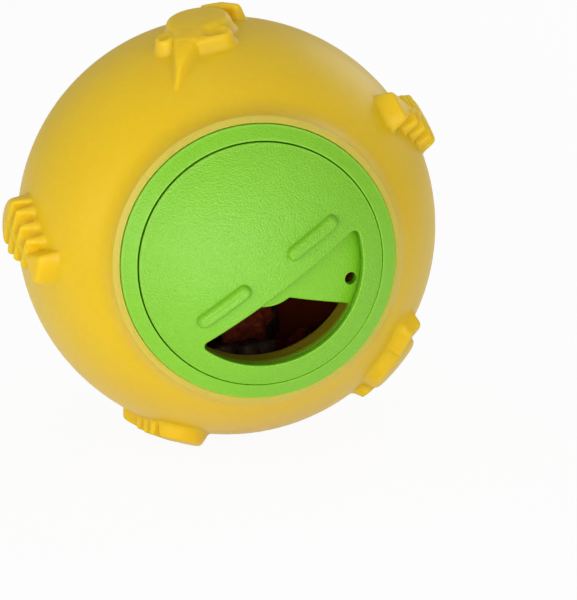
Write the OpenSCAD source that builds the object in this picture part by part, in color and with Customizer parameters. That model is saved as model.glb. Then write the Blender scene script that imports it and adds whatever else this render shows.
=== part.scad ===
// Cat treat ball: a soft hollow ball with raised mice and fish bones, closed by a
// push-in lid whose dial turns to open or shut a half-moon treat window.
// Millimetres. Origin at the ball's centre, +Z up, the lid faces -Y.

/* [Ball] */
// Outside radius of the ball
ball_r = 35; // [32:0.5:42]
// Wall thickness of the ball
ball_wall = 2.6; // [2:0.1:3.6]

/* [Relief] */
// Angle from the lid's axis to the middle of the motifs
motif_polar = 70; // [66:0.5:78]
// Slant of each motif from the straight line to the lid
motif_slant = 27; // [0:1:60]
// How far a mouse's body stands out from the ball
mouse_h = 2.6; // [1.8:0.1:3.2]
// Length of a mouse from its nose to the end of its body
mouse_len = 22.2; // [18:0.2:23]
// Half width of a mouse's body
mouse_half_w = 5.5; // [4.8:0.1:6]
// Radius of a mouse's larger ear
mouse_ear_r = 2.8; // [2.4:0.1:3.2]
// Depth of the dish in a mouse's ear
mouse_ear_dish = 0.6; // [0.3:0.1:1]
// Width of a mouse's tail
mouse_tail_w = 2.5; // [2:0.1:3]
// How far a fish bone stands out from the ball
fish_h = 3; // [2:0.1:3.6]
// Length of a fish bone from its tail fin to its nose
fish_len = 17.5; // [15:0.5:20]
// Half width of a fish bone's head
fish_half_w = 4.8; // [4:0.1:5.6]
// Width of each fish rib and of the spine
fish_rib_w = 1.9; // [1.5:0.1:2.2]

/* [Lid] */
// Radius of the lid's flange
flange_r = 21.5; // [20.5:0.1:22.5]
// Thickness of the flange at its edge
flange_t = 2; // [1.5:0.1:2.6]
// How far the lid's dome stands proud of the ball's own curve
lid_proud = 2.2; // [1.4:0.1:3]
// Width of the ring between the flange's edge and the dial's pocket
ring_w = 2.4; // [1.8:0.1:3]
// Width of the seat that the flange rests on, outside the plug
seat_w = 4.1; // [3.4:0.1:4.6]
// Wall thickness of the plug
plug_t = 1.2; // [1:0.1:1.6]
// Length of the plug below the flange
plug_len = 4.4; // [3:0.1:6]
// Thickness of the lid's plate under the dial
plate_t = 1.8; // [1.4:0.1:2.4]
// Direction of the straight edge of the plate's window
plate_turn = -11.5; // [-180:0.5:180]
// Radius of the small round hole in the plate
vent_r = 1; // [0.6:0.1:1.2]
// Distance from the small hole's edge to the round edge of the windows
vent_edge = 0.3; // [0.2:0.1:1]
// Direction of the small hole
vent_turn = -11; // [-180:1:180]

/* [Dial] */
// Gap between the dial's rim and its pocket
dial_gap = 0.3; // [0.25:0.05:0.5]
// How far the dial's dome lies below the flange's
dial_sink = 0.2; // [0.1:0.05:0.4]
// Thickness of the dial
dial_t = 1.7; // [1.4:0.1:2.2]
// Space between the dial and the plate
plate_gap = 0.3; // [0.2:0.05:0.5]
// Direction of the straight edge of the dial's window
dial_turn = 36; // [-180:0.5:180]
// Distance from the axis to the straight edge of both windows
window_chord = 3.9; // [3.6:0.1:4.6]
// Distance from the plug's outside to the round edge of both windows
window_rim = 1.9; // [1.6:0.1:2.6]
// Length of each grip rib
rib_len = 9.4; // [8:0.1:10]
// Width of each grip rib
rib_w = 2.1; // [1.6:0.1:2.6]
// Height of each grip rib
rib_h = 1.4; // [1:0.1:1.8]
// Distance from the axis to the near end of each grip rib
rib_at = 3.8; // [3.4:0.1:4.6]
// Turn of the first grip rib from the straight edge of the dial's window
rib_turn = -1.5; // [-4:0.5:4]
// Turn of the second grip rib from the straight edge of the dial's window
rib_turn_2 = 2.5; // [-4:0.5:4]

/* [Pivot] */
// Radius of the dial's pivot pin
pin_r = 2.5; // [2:0.1:3]
// Radius of the hub on the plate
hub_r = 6.1; // [5:0.1:6.6]
// Length of the hub below the crown of the plate
hub_len = 5.6; // [4.5:0.1:6.5]
// How far the pin's snap head reaches past the bore
head_over = 0.8; // [0.5:0.1:1.2]
// Length of the snap head
head_len = 1.6; // [1.2:0.1:2]
// Width of the slot that lets the snap head flex
slot_w = 0.9; // [0.6:0.1:1.2]

/* [Lip] */
// Thickness of the ball's lip round the lid
lip_t = 1.6; // [1.4:0.1:2.4]
// How far the lip stands above the edge of the flange, negative below it
lip_rise = -0.05; // [-0.4:0.05:0.6]
// Radius of the flare from the ball up to the lip
flare_r = 8; // [5:0.5:9]
// Wall thickness of the neck inside the ball
neck_t = 2.1; // [1.6:0.1:2.6]
// Length of the neck below the flange
neck_len = 4; // [3:0.1:5]

/* [Fits] */
// Clearance between the flange and the lip
flange_clear = 0.15; // [0.1:0.05:0.3]
// Clearance between the plug and the neck
plug_clear = 0.08; // [0.05:0.01:0.1]
// Clearance between the pivot pin and its bore
pin_clear = 0.05; // [0.02:0.01:0.1]
// End play of the snap head under the hub
head_clear = 0.2; // [0.1:0.05:0.4]

/* [Treats] */
// Radius of a star treat over its points
treat_r = 6; // [5:0.1:6.4]
// Thickness of a treat
treat_t = 5.5; // [4.5:0.1:6]
// Space between a treat and what it lies on
treat_gap = 0.15; // [0.1:0.05:0.3]
// Lean of the pile towards the back of the ball
pile_lean = 12; // [0:1:25]

/* [Hidden] */
$fn = 96;
inner_r = ball_r - ball_wall;
lid_dome_r = ball_r + lid_proud;
dial_dome_r = lid_dome_r - dial_sink;
plate_dome_r = dial_dome_r - dial_t - plate_gap;
plate_inner_r = plate_dome_r - plate_t;
rim_in = plate_t / 1.8;
pocket_r = flange_r - ring_w;
plug_r = flange_r - seat_w;
window_r = plug_r - window_rim;
vent_at = window_r - vent_edge - vent_r;
dial_r = pocket_r - dial_gap;
bore_r = pin_r + pin_clear;
// Heights along the lid's axis, from the ball's centre
flange_edge = height_at(lid_dome_r, flange_r);
seat = flange_edge - flange_t;
hub_end = plate_dome_r - hub_len;
head_top = hub_end - head_clear;
// The lip's bead and the flare below it
lip_in = flange_r + flange_clear;
bead_r = lip_t / 2;
bead_at = flange_edge + lip_rise - bead_r;
flare_x = lip_in + lip_t + flare_r;
flare_y = height_at(ball_r + flare_r, flare_x);
flare_bite = flare_r / 160;
lip_root = ball_wall / 8;
// Each motif: kind, angle round the lid, extra angle from the lid's axis, turn, share of its height
MOTIFS = [
    ["fish", 33.3, 3, -7, 0.95], ["mouse", 103, 0, 0, 1], ["fish", 178, 3, 0, 1],
    ["fish", 250, 9, 180, 0.76], ["mouse", 316, 2, 180, 0.88]
];
nose_r = 0.11 * mouse_half_w;
nose_share = 0.53;
snout_share = 0.75;
ear_share = 0.9;
ear_dished = 0.66;
// Each mouse's ear: place along and across as shares of the half width, share of the ear's radius
MOUSE_EARS = [[-0.13, -0.78, 1], [-0.2, 0.74, 0.7]];
// Each fish rib: place along the fish and half length, as shares of its length and half width
FISH_RIBS = [[-0.21, 0.68], [-0.05, 0.82], [0.11, 1]];
fin_share = 0.26;
fin_reach = 0.305;
web_share = 0.5;
head_share = 0.21;
// Heights of the two layers of treats, from the ball's centre
bed_floor = height_at(inner_r - treat_gap, treat_r);
bed_top = bed_floor - treat_t;
heap_floor = height_at(bed_top - treat_gap, treat_r);
bed_spacing = 2.16 * atan(treat_r / bed_top);
heap_spread = 1.35 * atan(treat_r / (heap_floor - treat_t));
// Each treat: layer, angle round the pile, turn of its points, colour
TREATS = [
    [0, 0, 10, "tan"], [1, 0, 30, "brown"], [1, 60, 5, "red"], [1, 120, 50, "tan"],
    [1, 180, 20, "red"], [1, 240, 65, "brown"], [1, 300, 40, "tan"],
    [2, 103, 25, "brown"], [2, 240, 60, "red"], [2, 350, 15, "red"]
];
red = [0.66, 0.22, 0.13];
brown = [0.27, 0.17, 0.13];
tan_colour = [0.73, 0.55, 0.33];
yellow = [0.87, 0.72, 0.16];
green = [0.53, 0.80, 0.22];
reach = 2 * ball_r;

// Height on a sphere at a given distance from its axis
function height_at(sphere_r, away) = sqrt(sphere_r * sphere_r - away * away);

// Turns a shape made along +Z to the lid's axis, with its +Y upwards
module along_lid_axis() {
    rotate([90, 0, 0]) children();
}

// Half-moon with its straight edge along X, on the -Y side
module half_moon() {
    intersection() {
        circle(window_r);
        translate([-window_r, -window_r - window_chord]) square([2 * window_r, window_r]);
    }
}

// Bar with round ends, along X and centred
module round_bar(length, width) {
    straight = length - width;
    square([straight, width], center = true);
    for (side = [-1, 1]) translate([side * straight / 2, 0]) circle(width / 2);
}

// A flat outline raised to a given height above the ball
module raised(height) {
    intersection() {
        sphere(ball_r + height);
        linear_extrude(ball_r + 2 * height) children();
    }
}

// Mouse seen from above, nose towards -X, ears on either side of the origin
module mouse(share) {
    nose_x = nose_r - nose_share * mouse_len;
    end_x = (1 - nose_share) * mouse_len;
    rump_x = end_x - mouse_half_w;
    ear_h = ear_share * share * mouse_h;
    raised(share * mouse_h) {
        translate([rump_x, 0]) circle(mouse_half_w);
        polygon([
            [-0.7 * mouse_half_w, -0.4 * mouse_half_w], [0.2 * mouse_half_w, -0.6 * mouse_half_w],
            [0.2 * mouse_half_w, 0.6 * mouse_half_w], [-0.7 * mouse_half_w, 0.4 * mouse_half_w]
        ]);
        translate([end_x + 0.24 * mouse_half_w, -0.14 * mouse_half_w]) rotate(-44)
            round_bar(0.55 * mouse_half_w + mouse_tail_w, mouse_tail_w);
        translate([end_x + 0.37 * mouse_half_w, -0.56 * mouse_half_w]) rotate(75)
            round_bar(0.49 * mouse_half_w + mouse_tail_w, mouse_tail_w);
    }
    raised(snout_share * share * mouse_h) {
        translate([nose_x, 0]) circle(nose_r);
        for (side = [-1, 1])
            polygon([
                [nose_x, 0], [nose_x, side * nose_r], [-0.62 * mouse_half_w, 0.38 * side * mouse_half_w],
                [0.2 * mouse_half_w, 0.65 * side * mouse_half_w], [0.2 * mouse_half_w, 0]
            ]);
    }
    for (ear = MOUSE_EARS) {
        ear_at = mouse_half_w * [ear[0], ear[1]];
        ear_r = ear[2] * mouse_ear_r;
        difference() {
            raised(ear_h) translate(ear_at) circle(ear_r);
            translate([0, 0, height_at(ball_r + ear_h, norm(ear_at)) - mouse_ear_dish])
                linear_extrude(mouse_len) translate(ear_at) circle(ear_dished * ear_r);
        }
    }
}

// Fish bone, tail fin towards -X
module fish(share) {
    tail_x = -fish_len / 2;
    fin_x = tail_x + fin_share * fish_len;
    head_x = head_share * fish_len;
    fin_half_w = 0.9 * fish_half_w;
    raised(share * fish_h) {
        translate([(tail_x + head_x) / 2, 0]) square([head_x - tail_x, fish_rib_w], center = true);
        intersection() {
            translate([fin_x, 0]) circle(fin_reach * fish_len);
            polygon([
                [fin_x - fin_reach * fish_len, -fin_half_w], [fin_x, -fish_rib_w / 2],
                [fin_x, fish_rib_w / 2], [fin_x - fin_reach * fish_len, fin_half_w]
            ]);
        }
        for (rib = FISH_RIBS)
            translate([rib[0] * fish_len, 0]) rotate(90)
                round_bar(2 * fish_half_w * rib[1], fish_rib_w);
        intersection() {
            translate([head_x, 0]) circle(fish_half_w);
            translate([head_x, -fish_len / 2]) square(fish_len);
        }
    }
    raised(web_share * share * fish_h)
        polygon([
            [fin_x, -0.4 * fish_half_w], [head_x + fish_rib_w, -0.85 * fish_half_w],
            [head_x + fish_rib_w, 0.85 * fish_half_w], [fin_x, 0.4 * fish_half_w]
        ]);
}

// Each motif stands on the ball at its own angles
module motifs() {
    for (place = MOTIFS)
        rotate([0, motif_polar + place[2], place[1]]) rotate(place[3] - motif_slant)
            if (place[0] == "mouse") mouse(place[4]);
            else fish(place[4]);
}

// Half section of the ball's lip and of its flare
module lip_section() {
    flare_foot = ball_r / (ball_r + flare_r);
    difference() {
        polygon([
            [lip_in - ball_wall, seat - flange_t], [lip_in, seat - 2 * flange_t],
            [flare_foot * flare_x - lip_root, flare_foot * flare_y - lip_root],
            [flare_x, flare_y], [lip_in + lip_t, max(flare_y, bead_at)], [lip_in + lip_t, bead_at],
            [lip_in - ball_wall, bead_at]
        ]);
        translate([flare_x, flare_y]) circle(flare_r + flare_bite);
    }
    translate([lip_in + bead_r, bead_at]) circle(bead_r);
}

module ball_shell() {
    neck_r = plug_r + plug_clear;
    color(yellow) along_lid_axis() {
        difference() {
            union() {
                sphere(ball_r);
                rotate_extrude() lip_section();
                motifs();
            }
            sphere(inner_r);
            cylinder(h = reach, r = neck_r);
            translate([0, 0, seat]) cylinder(h = reach, r = lip_in);
        }
        translate([0, 0, seat - neck_len]) difference() {
            cylinder(h = neck_len, r = neck_r + neck_t);
            translate([0, 0, -neck_len]) cylinder(h = 3 * neck_len, r = neck_r);
        }
    }
}

// Cutter for the plate's window, with the round hub left standing in it
module plate_window() {
    rotate(plate_turn) linear_extrude(reach) difference() {
        half_moon();
        circle(hub_r);
    }
}

module lid_base() {
    color(green) along_lid_axis() difference() {
        union() {
            intersection() {
                sphere(lid_dome_r);
                translate([0, 0, seat]) cylinder(h = reach, r = flange_r);
            }
            translate([0, 0, seat - plug_len]) cylinder(h = plug_len + flange_t / 2, r = plug_r);
        }
        difference() {
            cylinder(h = reach, r = pocket_r);
            sphere(plate_dome_r);
        }
        difference() {
            intersection() {
                sphere(plate_inner_r);
                cylinder(h = reach, r = window_r - rim_in);
            }
            translate([0, 0, hub_end]) cylinder(h = reach, r = hub_r);
        }
        translate([0, 0, seat - 2 * plug_len]) cylinder(h = 2 * plug_len, r = plug_r - plug_t);
        plate_window();
        cylinder(h = reach, r = bore_r);
        rotate(vent_turn) translate([vent_at, 0, 0]) cylinder(h = reach, r = vent_r);
    }
}

module dial() {
    color(green) along_lid_axis() rotate(dial_turn) {
        difference() {
            union() {
                intersection() {
                    sphere(dial_dome_r);
                    cylinder(h = reach, r = dial_r);
                }
                for (turn = [rib_turn, 180 + rib_turn_2]) intersection() {
                    sphere(dial_dome_r + rib_h);
                    rotate(turn) translate([rib_at + rib_len / 2, 0, 0])
                        linear_extrude(reach) round_bar(rib_len, rib_w);
                }
            }
            sphere(dial_dome_r - dial_t);
            linear_extrude(reach) half_moon();
        }
        pivot_pin();
    }
}

// Pin under the dial, with a slotted snap head below the hub
module pivot_pin() {
    pin_top = dial_dome_r - dial_t / 2;
    difference() {
        union() {
            translate([0, 0, head_top - head_len]) cylinder(h = pin_top - head_top + head_len, r = pin_r);
            translate([0, 0, head_top - head_len])
                cylinder(h = head_len, r1 = pin_r, r2 = bore_r + head_over);
        }
        translate([-reach / 2, -slot_w / 2, head_top - 2 * head_len]) cube([reach, slot_w, 2.5 * head_len]);
    }
}

// Star with five rounded points
module star() {
    point_r = 0.36 * treat_r;
    circle(0.68 * treat_r);
    for (i = [0 : 4]) rotate(72 * i) translate([treat_r - point_r, 0]) circle(point_r);
}

// A treat lies flat on the ball's wall or on the layer below it
module treat(place) {
    layer = place[0];
    polar = layer == 0 ? 0 : layer == 1 ? bed_spacing : heap_spread;
    floor_at = layer == 2 ? heap_floor : bed_floor;
    colour = place[3] == "red" ? red : place[3] == "brown" ? brown : tan_colour;
    color(colour) rotate([pile_lean, 0, 0]) rotate([0, polar, place[1]])
        translate([0, 0, -floor_at]) rotate(place[2]) linear_extrude(treat_t) star();
}

ball_shell();
lid_base();
dial();
for (i = [1 : len(TREATS)])
    treat(TREATS[i - 1]);
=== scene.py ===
"""Looks of a cat treat ball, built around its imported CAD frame.

A soft ball with raised mice and fish bones, a push-in lid, a turning dial with a half-moon
window, and star treats inside. Shapes are worked out in millimetres in the lid's own axes,
x right, y up and z out of the lid, and put into the scene in metres, where the lid faces -Y.
"""

import math

import bpy
import numpy as np
from bpy.props import FloatProperty, FloatVectorProperty, PointerProperty
from mathutils import Matrix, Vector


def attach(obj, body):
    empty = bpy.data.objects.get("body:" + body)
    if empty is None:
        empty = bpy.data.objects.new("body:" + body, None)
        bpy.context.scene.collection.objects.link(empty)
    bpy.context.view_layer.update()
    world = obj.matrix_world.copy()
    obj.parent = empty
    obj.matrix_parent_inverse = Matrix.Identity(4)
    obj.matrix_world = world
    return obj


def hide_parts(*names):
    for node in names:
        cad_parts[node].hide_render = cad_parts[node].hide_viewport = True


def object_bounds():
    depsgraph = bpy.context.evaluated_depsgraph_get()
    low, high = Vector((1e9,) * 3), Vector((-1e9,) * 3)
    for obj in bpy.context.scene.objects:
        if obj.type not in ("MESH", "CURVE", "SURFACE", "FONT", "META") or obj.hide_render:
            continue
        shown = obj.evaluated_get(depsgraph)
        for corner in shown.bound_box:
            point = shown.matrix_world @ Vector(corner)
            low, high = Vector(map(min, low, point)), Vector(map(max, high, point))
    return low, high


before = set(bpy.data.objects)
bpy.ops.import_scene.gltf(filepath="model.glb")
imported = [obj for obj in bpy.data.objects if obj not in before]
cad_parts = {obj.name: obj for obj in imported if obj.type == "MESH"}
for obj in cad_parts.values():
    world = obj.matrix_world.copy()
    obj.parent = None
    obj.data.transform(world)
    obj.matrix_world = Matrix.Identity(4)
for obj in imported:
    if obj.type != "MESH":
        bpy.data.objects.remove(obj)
CAD_BOX = [list(corner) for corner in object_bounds()]

bl_info = {
    "name": "Cat treat ball",
    "version": (1, 0, 0),
    "blender": (4, 5, 0),
    "location": "3D View > Sidebar > Treat ball",
    "description": "Builds the looks of a soft treat ball with a turning dial around its CAD frame",
    "category": "Object",
}

# Each raised figure: kind, angle round the lid, angle from the lid's axis and turn in degrees,
# share of its height
FIGURES = [
    ("fish", 33.3, 73.0, -7.0, 0.95), ("mouse", 103.0, 70.0, 0.0, 1.0), ("fish", 178.0, 73.0, 0.0, 1.0),
    ("fish", 250.0, 79.0, 180.0, 0.76), ("mouse", 316.0, 72.0, 180.0, 0.88),
]
# Each ear of a mouse: root, inner end and outer end of its dish, radius; millimetres
MOUSE_EARS = [
    ((-1.5, -1.4), (-0.2, -3.3), (0.6, -4.6), 2.3), ((-1.6, 3.7), (-1.3, 3.9), (-0.9, 4.1), 1.85),
]
# Each rib of a fish bone: place along the spine, half length; millimetres
FISH_RIBS = [(-3.68, 3.26), (-0.88, 3.94), (1.93, 4.8)]
# Each treat: tilt from the pile's axis, angle round it, turn of its points, height of its floor
# below the ball's centre, finish; degrees and millimetres
TREATS = [
    (0.0, 0.0, 10.0, 31.69, "tan"), (27.86, 0.0, 30.0, 31.69, "brown"),
    (27.86, 60.0, 5.0, 31.69, "red"), (27.86, 120.0, 50.0, 31.69, "tan"),
    (27.86, 180.0, 20.0, 31.69, "red"), (27.86, 240.0, 65.0, 31.69, "brown"),
    (27.86, 300.0, 40.0, 31.69, "tan"), (22.81, 103.0, 25.0, 25.34, "brown"),
    (22.81, 240.0, 60.0, 25.34, "red"), (22.81, 350.0, 15.0, 25.34, "red"),
]
# Each lamp: name, place, point it is turned to, width in metres, watts
LAMPS = [
    ("front_light", (-0.15, -0.9, -0.02), (0.0, 0.0, 0.0), 0.5, 2.2),
    ("high_light", (0.25, -0.9, 0.28), (0.0, 0.0, 0.0), 0.4, 1.7),
    ("left_light", (-0.65, -0.7, 0.0), (0.0, 0.0, 0.0), 0.5, 3.3),
    ("side_light", (-1.0, -0.35, 0.12), (0.0, 0.0, 0.0), 0.5, 1.4),
    ("back_light", (0.75, 0.75, 0.5), (0.0, 0.0, 0.0), 0.6, 1.7),
    ("top_light", (0.0, -0.05, 1.1), (0.0, 0.0, 0.0), 0.8, 0.6),
    ("low_light", (-0.04, -0.16, -0.024), (0.0, -0.02, -0.02), 0.06, 0.065),
]
# Angle between faces from which an edge looks sharp
SHARP = math.radians(50.0)
# Points round the ball and round a window, and cells of the plastic's grain to the metre
BALL_POINTS, WINDOW_POINTS, GRAIN_CELLS = 192, 512, 3600.0


def size_of(name, description, default):
    """A length in metres that the panel shows."""
    return FloatProperty(name=name, description=description, default=default,
                         subtype="DISTANCE", unit="LENGTH", precision=5)


def turn_of(name, description, degrees):
    """An angle that the panel shows in degrees."""
    return FloatProperty(name=name, description=description, default=math.radians(degrees),
                         subtype="ANGLE", unit="ROTATION")


def colour_of(name, description, red, green, blue):
    """A colour given as it looks on a screen, from 0 to 255, kept as linear light."""
    screen = np.array([red, green, blue]) / 255.0
    linear = np.where(screen <= 0.04045, screen / 12.92, ((screen + 0.055) / 1.055) ** 2.4)
    return FloatVectorProperty(name=name, description=description, subtype="COLOR", size=4,
                               min=0.0, max=1.0, default=(*linear.tolist(), 1.0))


class TreatBallSizes(bpy.types.PropertyGroup):
    """Sizes of the ball, its lid, its dial and its treats."""

    ball_radius: size_of("Ball radius", "Outside radius of the ball", 0.035)
    ball_wall: size_of("Ball wall", "Wall thickness of the ball", 0.0026)
    mouse_height: size_of("Mouse height", "How far a mouse stands out from the ball", 0.0026)
    fish_height: size_of("Fish height", "How far a fish bone stands out from the ball", 0.003)
    figure_slant: turn_of("Figure slant", "Slant of each raised figure from the lid", 27.0)
    lip_radius: size_of("Lip radius", "Inside radius of the lip round the lid", 0.02156)
    lip_thickness: size_of("Lip thickness", "Thickness of the lip round the lid", 0.0016)
    lip_middle: size_of("Lip middle", "Height of the middle of the lip", 0.02951)
    flare_radius: size_of("Flare radius", "Radius of the curve from the ball to the lip", 0.008)
    seat_height: size_of("Seat height", "Height of the seat under the flange", 0.02836)
    neck_radius: size_of("Neck radius", "Bore of the neck that holds the lid", 0.01748)
    neck_wall: size_of("Neck wall", "Wall thickness of the neck", 0.0021)
    neck_length: size_of("Neck length", "Length of the neck below the seat", 0.004)
    flange_radius: size_of("Flange radius", "Outside radius of the lid", 0.0215)
    lid_dome: size_of("Lid dome", "Radius of the lid's domed ring", 0.0372)
    pocket_radius: size_of("Pocket radius", "Radius of the pocket for the dial", 0.0191)
    plate_dome: size_of("Plate dome", "Radius of the plate under the dial", 0.035)
    plate_thickness: size_of("Plate thickness", "Thickness of the plate", 0.0018)
    plug_radius: size_of("Plug radius", "Outside radius of the lid's plug", 0.0174)
    plug_wall: size_of("Plug wall", "Wall thickness of the plug", 0.0012)
    plug_length: size_of("Plug length", "Length of the plug below the flange", 0.0044)
    hub_radius: size_of("Hub radius", "Radius of the plate's hub", 0.0061)
    hub_end: size_of("Hub end", "Height of the hub's lower end", 0.0294)
    bore_radius: size_of("Bore radius", "Bore of the hub", 0.00255)
    vent_radius: size_of("Small hole", "Radius of the small hole in the plate", 0.001)
    vent_away: size_of("Small hole place", "Distance of the small hole from the axis", 0.0142)
    vent_turn: turn_of("Small hole turn", "Direction of the small hole", -11.0)
    plate_turn: turn_of("Plate turn", "Direction of the plate window's straight edge", -11.5)
    dial_dome: size_of("Dial dome", "Radius of the dial's dome", 0.037)
    dial_radius: size_of("Dial radius", "Radius of the dial", 0.01895)
    dial_play: size_of("Dial play", "How far the dial sits to the lower right in its pocket", 0.0001)
    dial_thickness: size_of("Dial thickness", "Thickness of the dial", 0.0017)
    dial_turn: turn_of("Dial turn", "Direction of the dial window's straight edge", 36.0)
    window_radius: size_of("Window radius", "Radius of both windows", 0.0155)
    window_chord: size_of("Window chord", "Distance from the axis to the straight edges", 0.0039)
    rib_start: size_of("Rib start", "Distance from the axis to a grip rib", 0.0038)
    rib_length: size_of("Rib length", "Length of a grip rib", 0.0094)
    rib_width: size_of("Rib width", "Width of a grip rib", 0.0021)
    rib_height: size_of("Rib height", "Height of a grip rib", 0.0014)
    rib_turn: turn_of("First rib turn", "Turn of the first rib from the window's straight edge", -1.5)
    rib_turn_2: turn_of("Second rib turn", "Turn of the second rib from the window's straight edge", 2.5)
    pin_radius: size_of("Pin radius", "Radius of the dial's pivot pin", 0.0025)
    snap_radius: size_of("Snap radius", "Radius of the pin's snap head", 0.00335)
    snap_top: size_of("Snap top", "Height of the snap head's shoulder", 0.0292)
    snap_length: size_of("Snap length", "Length of the snap head", 0.0016)
    slot_width: size_of("Slot width", "Width of the slot in the snap head", 0.0009)
    treat_radius: size_of("Treat radius", "Radius of a treat over its points", 0.006)
    treat_thickness: size_of("Treat thickness", "Thickness of a treat", 0.0055)
    pile_lean: turn_of("Pile lean", "Lean of the pile of treats", 12.0)


class TreatBallColours(bpy.types.PropertyGroup):
    """Colours of the finishes, as they look in plain light; the lip, inside and underside colours are
    painted light.
    """

    skin: colour_of("Skin", "Yellow of the soft ball", 224, 189, 16)
    skin_deep: colour_of("Skin in hollows", "Deeper yellow in the slow mottle", 222, 185, 14)
    # Painted sheen: the lip is the ball's own yellow; this paler yellow stands in for light from the
    # white surroundings on its top.
    lip: colour_of("Lip", "Paler yellow of the thin lip", 206, 183, 72)
    # Painted shade: the ball's inside is the same yellow plastic; this dark red-brown stands in for the
    # dim light within the closed ball.
    inside: colour_of("Inside", "Dull inside of the ball", 150, 62, 16)
    lid: colour_of("Lid", "Green of the lid", 122, 189, 32)
    dial: colour_of("Dial", "Green of the dial", 120, 187, 32)
    # Painted light: a yellow-olive tint on the lid's green walls below the plate, for the yellow light
    # that the ball casts on them.
    underside: colour_of("Underside", "Walls below the plate, in the ball's yellow light", 160, 146, 26)
    treat_red: colour_of("Red treat", "Red treats", 196, 78, 36)
    treat_brown: colour_of("Brown treat", "Brown treats", 88, 62, 46)
    treat_tan: colour_of("Tan treat", "Tan treats", 186, 142, 86)
    floor: colour_of("Floor", "Pale floor", 250, 250, 250)


def mm(value):
    """Metres to millimetres."""
    return 1000.0 * value


def to_scene(points):
    """Lid axes in millimetres to scene metres: a quarter turn about X, so that z becomes -Y."""
    return np.stack([points[..., 0], -points[..., 2], points[..., 1]], axis=-1) * 0.001


def turned(points, axis, degrees):
    """Points turned about one coordinate axis by an angle, by the usual sine and cosine rule."""
    first, second = [(1, 2), (2, 0), (0, 1)][axis]
    angle = math.radians(degrees)
    out = np.array(points, float)
    out[..., first] = math.cos(angle) * points[..., first] - math.sin(angle) * points[..., second]
    out[..., second] = math.sin(angle) * points[..., first] + math.cos(angle) * points[..., second]
    return out


def arc(middle, radius, start, end, count):
    """Points at even steps of angle, in degrees, on a circle round a middle point."""
    angle = np.radians(np.linspace(start, end, count))
    return np.stack([middle[0] + radius * np.cos(angle), middle[1] + radius * np.sin(angle)], axis=1)


def line(start, end, count):
    """Points at even steps on a straight line."""
    return np.linspace(start, end, count)


def height_on(dome, away):
    """Height on a sphere at a distance from the lid's axis: root of R squared less r squared."""
    return np.sqrt(np.maximum(dome * dome - away * away, 0.0))


def over(dome):
    """Height of a domed surface, as a function of plan points."""
    return lambda plan: height_on(dome, np.linalg.norm(plan, axis=1))


def ease(value):
    """Rises from 0 to 1 with no slope or bend at its ends: 6t^5 - 15t^4 + 10t^3."""
    t = np.clip(value, 0.0, 1.0)
    return t * t * t * (t * (6.0 * t - 15.0) + 10.0)


def soft_min(first, second, blend):
    """Lesser of two fields, rounded where they differ by less than the blend."""
    share = np.clip(0.5 + 0.5 * (second - first) / blend, 0.0, 1.0)
    return second + (first - second) * share - blend * share * (1.0 - share)


def soft_max(first, second, blend):
    """Greater of two fields, rounded where they differ by less than the blend."""
    return -soft_min(-first, -second, blend)


def disc(x, y, at, radius):
    """Distance outside a circle."""
    return np.hypot(x - at[0], y - at[1]) - radius


def bar(x, y, start, end, radius):
    """Distance outside a straight bar with round ends: from the nearest point of its middle line."""
    along = np.subtract(end, start)
    t = ((x - start[0]) * along[0] + (y - start[1]) * along[1]) / np.dot(along, along)
    t = np.clip(t, 0.0, 1.0)
    return np.hypot(x - start[0] - t * along[0], y - start[1] - t * along[1]) - radius


def slab(x, y, corners, blend=0.01):
    """Distance outside a convex outline, given anticlockwise: the greatest over its sides."""
    corners = np.asarray(corners, float)
    along = np.roll(corners, -1, axis=0) - corners
    normal = np.stack([along[:, 1], -along[:, 0]], axis=1)
    normal /= np.linalg.norm(normal, axis=1, keepdims=True)
    sides = [(x - c[0]) * n[0] + (y - c[1]) * n[1] for c, n in zip(corners, normal)]
    found = sides[0]
    for side in sides[1:]:
        found = soft_max(found, side, blend)
    return found


def grid_faces(rows, columns, wrap_rows, wrap_columns):
    """Four-cornered faces between neighbours on a grid, joined round where a direction wraps."""
    r = np.arange(rows if wrap_rows else rows - 1)[:, None]
    c = np.arange(columns if wrap_columns else columns - 1)[None, :]
    below, right = (r + 1) % rows, (c + 1) % columns
    faces = [r * columns + c, r * columns + right, below * columns + right, below * columns + c]
    return np.stack(np.broadcast_arrays(*faces), axis=-1).reshape(-1, 4)


def loft(rings, first=None, last=None):
    """Closed skin over rings of points, with a fan to one point at each end."""
    count, around = rings.shape[:2]
    first = rings[0].mean(axis=0) if first is None else first
    last = rings[-1].mean(axis=0) if last is None else last
    points = np.concatenate([rings.reshape(-1, 3), [first, last]])
    here = np.arange(around)
    after = (here + 1) % around
    base = (count - 1) * around
    start_fan = np.stack([after, here, np.full(around, count * around)], axis=1)
    end_fan = np.stack([base + here, base + after, np.full(around, count * around + 1)], axis=1)
    return points, [grid_faces(count, around, False, True), start_fan, end_fan]


def spun(profile, segments):
    """Rings of a profile of (distance, height) pairs carried round the lid's axis."""
    angle = np.linspace(0.0, 2.0 * np.pi, segments, endpoint=False)
    away, height = profile[:, :1], profile[:, 1:]
    return np.stack(np.broadcast_arrays(away * np.cos(angle), away * np.sin(angle), height), axis=-1)


def ringed(rings):
    """Closed skin over rings of points that return to the first ring, like a bent tube."""
    count, around = rings.shape[:2]
    return rings.reshape(-1, 3), [grid_faces(count, around, True, True)]


def facing_out(points, faces):
    """Faces with their order reversed where the volume that they enclose comes out negative."""
    volume = 0.0
    for group in faces:
        for k in range(1, group.shape[1] - 1):
            across = np.cross(points[group[:, k]], points[group[:, k + 1]])
            volume += np.sum(points[group[:, 0]] * across)
    return faces if volume > 0.0 else [group[:, ::-1] for group in faces]


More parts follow.
